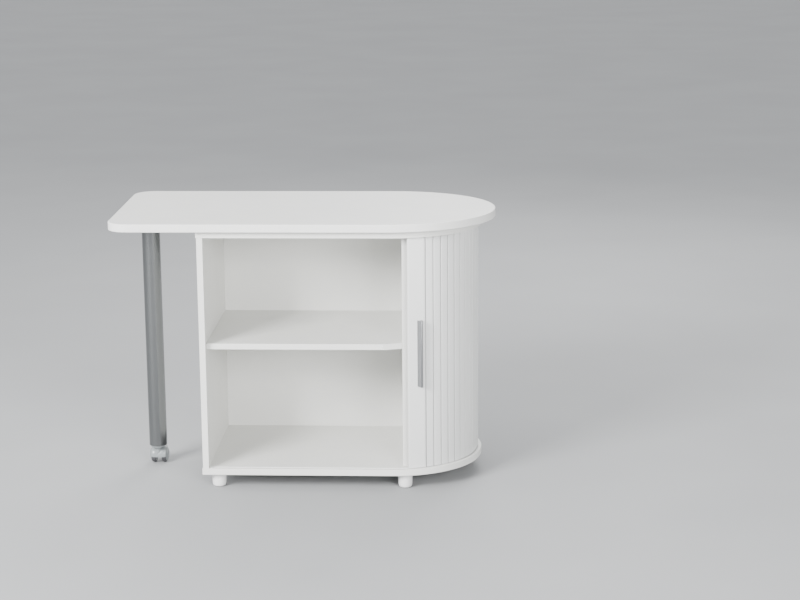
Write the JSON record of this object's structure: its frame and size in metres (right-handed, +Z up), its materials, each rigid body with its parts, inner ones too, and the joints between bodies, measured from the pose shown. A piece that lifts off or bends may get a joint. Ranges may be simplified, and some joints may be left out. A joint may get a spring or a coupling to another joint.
{
  "type": "pivot-top desk with tambour cabinet",
  "caption": "White desk on a half-round cabinet: the top swings on a pivot with a rolling leg, and a slatted tambour door slides round the end.",
  "frame": {"origin": "on the floor under the middle of the tabletop", "axes": "+X along the tabletop towards the round end, +Y towards the back, +Z up"},
  "size_m": [1.033, 0.51, 0.74],
  "materials": {
    "white_laminate": "satin melamine-faced board",
    "white_edge": "satin edge banding",
    "white_slat": "satin extruded plastic",
    "white_plastic": "moulded plastic",
    "silver_leg": "satin silver powder coat",
    "silver_handle": "satin anodised",
    "grey_plastic": "moulded nylon",
    "tread": "soft tread",
    "steel": "zinc plated",
    "felt": "felt",
    "hardboard": "painted hardboard"
  },
  "bodies": {
    "cabinet": {"base_panel": "white_laminate", "top_panel": "white_laminate", "side_panel": "white_laminate", "divider_panel": "white_laminate", "back_panel": "white_laminate", "end_liner": "hardboard", "shelf": "white_laminate", "shelf_pins": "steel", "lower_track": "white_plastic", "upper_track": "white_plastic", "feet": "white_plastic", "cabinet_screws": "steel", "pivot_plate": "steel", "pivot_bush": "white_plastic", "glide_pads": "felt"},
    "top": {"tabletop": "white_laminate", "edge_band": "white_edge", "pivot_bolt": "steel", "pivot_nut": "steel", "leg_flange": "silver_leg", "flange_screws": "steel", "leg_tube": "silver_leg", "leg_insert": "grey_plastic"},
    "caster": {"caster_housing": "grey_plastic", "caster_stem": "steel", "caster_axle": "steel"},
    "caster_wheel_left": {"wheel_left": "tread"},
    "caster_wheel_right": {"wheel_right": "tread"},
    "curtain_lead": {"lead_slat": "white_slat", "handle": "silver_handle", "handle_screws": "steel"},
    "curtain_01": {"slat_01": "white_slat"},
    "curtain_02": {"slat_02": "white_slat"},
    "curtain_03": {"slat_03": "white_slat"},
    "curtain_04": {"slat_04": "white_slat"},
    "curtain_05": {"slat_05": "white_slat"},
    "curtain_06": {"slat_06": "white_slat"},
    "curtain_07": {"slat_07": "white_slat"},
    "curtain_08": {"slat_08": "white_slat"},
    "curtain_09": {"slat_09": "white_slat"},
    "curtain_10": {"slat_10": "white_slat"},
    "curtain_11": {"slat_11": "white_slat"},
    "curtain_pair_01": {"slat_pair_01": "white_slat"},
    "curtain_pair_02": {"slat_pair_02": "white_slat"},
    "curtain_pair_03": {"slat_pair_03": "white_slat"},
    "curtain_pair_04": {"slat_pair_04": "white_slat"},
    "curtain_pair_05": {"slat_pair_05": "white_slat"},
    "curtain_pair_06": {"slat_pair_06": "white_slat"},
    "curtain_pair_07": {"slat_pair_07": "white_slat"},
    "curtain_pair_08": {"slat_pair_08": "white_slat"},
    "curtain_pair_09": {"slat_pair_09": "white_slat"},
    "curtain_pair_10": {"slat_pair_10": "white_slat"},
    "curtain_pair_11": {"slat_pair_11": "white_slat"},
    "curtain_pair_12": {"slat_pair_12": "white_slat"},
    "curtain_pair_13": {"slat_pair_13": "white_slat"},
    "curtain_pair_14": {"slat_pair_14": "white_slat"},
    "curtain_pair_15": {"slat_pair_15": "white_slat"},
    "curtain_pair_16": {"slat_pair_16": "white_slat"},
    "curtain_pair_17": {"slat_pair_17": "white_slat"},
    "curtain_pair_18": {"slat_pair_18": "white_slat"}
  },
  "joints": [
    {"name": "top_swing", "type": "hinge", "parent": "cabinet", "child": "top", "pos_m": [0.2435, 0, 0.715], "axis": [0, 0, 1], "range_deg": [-180, 180]},
    {"name": "caster_swivel", "type": "hinge", "parent": "top", "child": "caster", "pos_m": [-0.4375, 0, 0.05], "axis": [0, 0, 1], "continuous": true},
    {"name": "wheel_left_roll", "type": "hinge", "parent": "caster", "child": "caster_wheel_left", "pos_m": [-0.4375, 0.017, 0.023], "axis": [1, 0, 0], "continuous": true},
    {"name": "wheel_right_roll", "type": "hinge", "parent": "caster", "child": "caster_wheel_right", "pos_m": [-0.4375, 0.017, 0.023], "axis": [1, 0, 0], "continuous": true},
    {"name": "curtain_pull", "type": "hinge", "parent": "cabinet", "child": "curtain_lead", "pos_m": [0.004, 1.67109, 0.38], "axis": [0, 0, -1], "range_deg": [0, 16.31]},
    {"name": "curtain_01_guide", "type": "hinge", "parent": "cabinet", "child": "curtain_01", "pos_m": [0.0223, 0.96743, 0.38], "axis": [0, 0, -1], "range_deg": [0, 25.76]},
    {"name": "curtain_02_guide", "type": "hinge", "parent": "cabinet", "child": "curtain_02", "pos_m": [0.0338, 0.73874, 0.38], "axis": [0, 0, -1], "range_deg": [0, 31.7]},
    {"name": "curtain_03_guide", "type": "hinge", "parent": "cabinet", "child": "curtain_03", "pos_m": [0.0453, 0.58171, 0.38], "axis": [0, 0, -1], "range_deg": [0, 37.63]},
    {"name": "curtain_04_guide", "type": "hinge", "parent": "cabinet", "child": "curtain_04", "pos_m": [0.0568, 0.46718, 0.38], "axis": [0, 0, -1], "range_deg": [0, 43.57]},
    {"name": "curtain_05_guide", "type": "hinge", "parent": "cabinet", "child": "curtain_05", "pos_m": [0.0683, 0.38002, 0.38], "axis": [0, 0, -1], "range_deg": [0, 49.5]},
    {"name": "curtain_06_guide", "type": "hinge", "parent": "cabinet", "child": "curtain_06", "pos_m": [0.0798, 0.31155, 0.38], "axis": [0, 0, -1], "range_deg": [0, 55.44]},
    {"name": "curtain_07_guide", "type": "hinge", "parent": "cabinet", "child": "curtain_07", "pos_m": [0.0913, 0.25646, 0.38], "axis": [0, 0, -1], "range_deg": [0, 61.38]},
    {"name": "curtain_08_guide", "type": "hinge", "parent": "cabinet", "child": "curtain_08", "pos_m": [0.1028, 0.21133, 0.38], "axis": [0, 0, -1], "range_deg": [0, 67.31]},
    {"name": "curtain_09_guide", "type": "hinge", "parent": "cabinet", "child": "curtain_09", "pos_m": [0.1143, 0.17382, 0.38], "axis": [0, 0, -1], "range_deg": [0, 73.25]},
    {"name": "curtain_10_guide", "type": "hinge", "parent": "cabinet", "child": "curtain_10", "pos_m": [0.1258, 0.14232, 0.38], "axis": [0, 0, -1], "range_deg": [0, 79.18]},
    {"name": "curtain_11_guide", "type": "hinge", "parent": "cabinet", "child": "curtain_11", "pos_m": [0.1373, 0.11566, 0.38], "axis": [0, 0, -1], "range_deg": [0, 85.12]},
    {"name": "curtain_pair_01_guide", "type": "hinge", "parent": "cabinet", "child": "curtain_pair_01", "pos_m": [0.15455, 0.08291, 0.38], "axis": [0, 0, -1], "range_deg": [0, 94.02]},
    {"name": "curtain_pair_02_guide", "type": "hinge", "parent": "cabinet", "child": "curtain_pair_02", "pos_m": [0.17755, 0.04979, 0.38], "axis": [0, 0, -1], "range_deg": [0, 105.9]},
    {"name": "curtain_pair_03_guide", "type": "hinge", "parent": "cabinet", "child": "curtain_pair_03", "pos_m": [0.20055, 0.02593, 0.38], "axis": [0, 0, -1], "range_deg": [0, 117.77]},
    {"name": "curtain_pair_04_guide", "type": "hinge", "parent": "cabinet", "child": "curtain_pair_04", "pos_m": [0.22355, 0.00938, 0.38], "axis": [0, 0, -1], "range_deg": [0, 129.64]},
    {"name": "curtain_pair_05_guide", "type": "hinge", "parent": "cabinet", "child": "curtain_pair_05", "pos_m": [0.2435, 0, 0.38], "axis": [0, 0, -1], "range_deg": [0, 139.94]},
    {"name": "curtain_pair_06_guide", "type": "hinge", "parent": "cabinet", "child": "curtain_pair_06", "pos_m": [0.2435, 0, 0.38], "axis": [0, 0, -1], "range_deg": [0, 139.94]},
    {"name": "curtain_pair_07_guide", "type": "hinge", "parent": "cabinet", "child": "curtain_pair_07", "pos_m": [0.2435, 0, 0.38], "axis": [0, 0, -1], "range_deg": [0, 139.94]},
    {"name": "curtain_pair_08_guide", "type": "hinge", "parent": "cabinet", "child": "curtain_pair_08", "pos_m": [0.2435, 0, 0.38], "axis": [0, 0, -1], "range_deg": [0, 139.94]},
    {"name": "curtain_pair_09_guide", "type": "hinge", "parent": "cabinet", "child": "curtain_pair_09", "pos_m": [0.22606, -0.00796, 0.38], "axis": [0, 0, -1], "range_deg": [0, 130.94]},
    {"name": "curtain_pair_10_guide", "type": "hinge", "parent": "cabinet", "child": "curtain_pair_10", "pos_m": [0.20306, -0.02379, 0.38], "axis": [0, 0, -1], "range_deg": [0, 119.07]},
    {"name": "curtain_pair_11_guide", "type": "hinge", "parent": "cabinet", "child": "curtain_pair_11", "pos_m": [0.18007, -0.04677, 0.38], "axis": [0, 0, -1], "range_deg": [0, 107.19]},
    {"name": "curtain_pair_12_guide", "type": "hinge", "parent": "cabinet", "child": "curtain_pair_12", "pos_m": [0.15707, -0.07876, 0.38], "axis": [0, 0, -1], "range_deg": [0, 95.32]},
    {"name": "curtain_pair_13_guide", "type": "hinge", "parent": "cabinet", "child": "curtain_pair_13", "pos_m": [0.13406, -0.12272, 0.38], "axis": [0, 0, -1], "range_deg": [0, 83.45]},
    {"name": "curtain_pair_14_guide", "type": "hinge", "parent": "cabinet", "child": "curtain_pair_14", "pos_m": [0.11106, -0.1837, 0.38], "axis": [0, 0, -1], "range_deg": [0, 71.58]},
    {"name": "curtain_pair_15_guide", "type": "hinge", "parent": "cabinet", "child": "curtain_pair_15", "pos_m": [0.08807, -0.27083, 0.38], "axis": [0, 0, -1], "range_deg": [0, 59.71]},
    {"name": "curtain_pair_16_guide", "type": "hinge", "parent": "cabinet", "child": "curtain_pair_16", "pos_m": [0.06506, -0.40235, 0.38], "axis": [0, 0, -1], "range_deg": [0, 47.83]},
    {"name": "curtain_pair_17_guide", "type": "hinge", "parent": "cabinet", "child": "curtain_pair_17", "pos_m": [0.04206, -0.62068, 0.38], "axis": [0, 0, -1], "range_deg": [0, 35.96]},
    {"name": "curtain_pair_18_guide", "type": "hinge", "parent": "cabinet", "child": "curtain_pair_18", "pos_m": [0.01906, -1.05189, 0.38], "axis": [0, 0, -1], "range_deg": [0, 24.09]}
  ],
  "couplings": [
    {"joint": "curtain_01_guide", "follows": "curtain_pull", "ratio": 1.5791},
    {"joint": "curtain_02_guide", "follows": "curtain_pull", "ratio": 1.943},
    {"joint": "curtain_03_guide", "follows": "curtain_pull", "ratio": 2.3069},
    {"joint": "curtain_04_guide", "follows": "curtain_pull", "ratio": 2.6708},
    {"joint": "curtain_05_guide", "follows": "curtain_pull", "ratio": 3.0347},
    {"joint": "curtain_06_guide", "follows": "curtain_pull", "ratio": 3.3986},
    {"joint": "curtain_07_guide", "follows": "curtain_pull", "ratio": 3.7625},
    {"joint": "curtain_08_guide", "follows": "curtain_pull", "ratio": 4.1264},
    {"joint": "curtain_09_guide", "follows": "curtain_pull", "ratio": 4.4903},
    {"joint": "curtain_10_guide", "follows": "curtain_pull", "ratio": 4.8542},
    {"joint": "curtain_11_guide", "follows": "curtain_pull", "ratio": 5.2181},
    {"joint": "curtain_pair_01_guide", "follows": "curtain_pull", "ratio": 5.764},
    {"joint": "curtain_pair_02_guide", "follows": "curtain_pull", "ratio": 6.4918},
    {"joint": "curtain_pair_03_guide", "follows": "curtain_pull", "ratio": 7.2196},
    {"joint": "curtain_pair_04_guide", "follows": "curtain_pull", "ratio": 7.9474},
    {"joint": "curtain_pair_05_guide", "follows": "curtain_pull", "ratio": 8.5787},
    {"joint": "curtain_pair_06_guide", "follows": "curtain_pull", "ratio": 8.5787},
    {"joint": "curtain_pair_07_guide", "follows": "curtain_pull", "ratio": 8.5787},
    {"joint": "curtain_pair_08_guide", "follows": "curtain_pull", "ratio": 8.5787},
    {"joint": "curtain_pair_09_guide", "follows": "curtain_pull", "ratio": 8.027},
    {"joint": "curtain_pair_10_guide", "follows": "curtain_pull", "ratio": 7.2992},
    {"joint": "curtain_pair_11_guide", "follows": "curtain_pull", "ratio": 6.5714},
    {"joint": "curtain_pair_12_guide", "follows": "curtain_pull", "ratio": 5.8436},
    {"joint": "curtain_pair_13_guide", "follows": "curtain_pull", "ratio": 5.1158},
    {"joint": "curtain_pair_14_guide", "follows": "curtain_pull", "ratio": 4.388},
    {"joint": "curtain_pair_15_guide", "follows": "curtain_pull", "ratio": 3.6601},
    {"joint": "curtain_pair_16_guide", "follows": "curtain_pull", "ratio": 2.9323},
    {"joint": "curtain_pair_17_guide", "follows": "curtain_pull", "ratio": 2.2045},
    {"joint": "curtain_pair_18_guide", "follows": "curtain_pull", "ratio": 1.4767}
  ]
}
